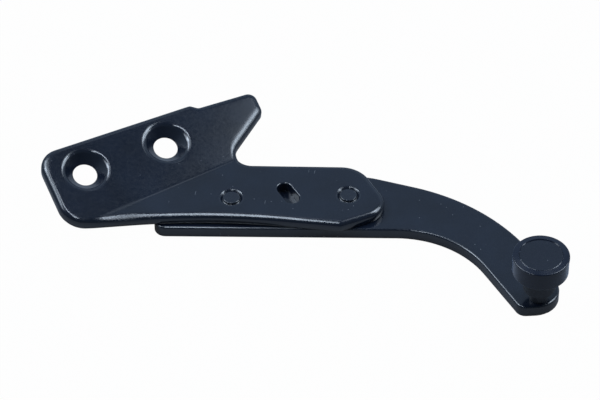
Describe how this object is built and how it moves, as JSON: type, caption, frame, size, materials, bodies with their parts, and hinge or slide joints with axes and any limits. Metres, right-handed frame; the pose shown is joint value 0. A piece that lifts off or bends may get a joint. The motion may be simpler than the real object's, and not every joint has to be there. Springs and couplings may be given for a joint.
{
  "type": "sliding door roller guide",
  "caption": "Cranked steel guide arm with a riveted, countersunk mounting bracket and a ball-bearing roller on a stepped pin.",
  "frame": {"origin": "middle of the roller's tread, on the roller's axis", "axes": "+Z along the roller's axis, from the arm towards the roller; X along the arm's straight front edge, +X from the bracket towards the roller; +Y from the roller towards the bracket's back ear"},
  "size_m": [0.209, 0.1159, 0.0284],
  "materials": {
    "arm_coating": "semi-gloss black electrocoat on steel plate",
    "bracket_coating": "semi-gloss black electrocoat on pressed steel sheet",
    "rivet_coating": "black electrocoat on steel rivet",
    "pin_coating": "black electrocoat on turned steel",
    "washer_steel": "plain steel",
    "tyre_polyamide": "black moulded polyamide, satin",
    "cap_coating": "black coated pressed steel, satin",
    "bearing_steel": "ground bearing steel",
    "shield_steel": "thin steel sheet",
    "cage_steel": "pressed steel ribbon",
    "ball_steel": "polished ball steel"
  },
  "bodies": {
    "guide_arm": {"arm_plate": "arm_coating", "mounting_bracket": "bracket_coating", "bracket_rivet_left": "rivet_coating", "bracket_rivet_right": "rivet_coating", "roller_pin": "pin_coating", "pin_washer": "washer_steel", "bearing_inner_ring": "bearing_steel"},
    "roller": {"roller_tyre": "tyre_polyamide", "roller_cap": "cap_coating", "bearing_outer_ring": "bearing_steel", "bearing_shield_lower": "shield_steel", "bearing_shield_upper": "shield_steel"},
    "ball_cage": {"cage_half_lower": "cage_steel", "cage_half_upper": "cage_steel", "ball_1": "ball_steel", "ball_2": "ball_steel", "ball_3": "ball_steel", "ball_4": "ball_steel", "ball_5": "ball_steel", "ball_6": "ball_steel"}
  },
  "joints": [
    {"name": "roller_spin", "type": "hinge", "parent": "guide_arm", "child": "roller", "pos_m": [0, 0, 0], "axis": [0, 0, 1], "continuous": true},
    {"name": "cage_orbit", "type": "hinge", "parent": "guide_arm", "child": "ball_cage", "pos_m": [0, 0, 0], "axis": [0, 0, 1], "continuous": true}
  ],
  "couplings": [
    {"joint": "cage_orbit", "follows": "roller_spin", "ratio": 0.65284}
  ]
}
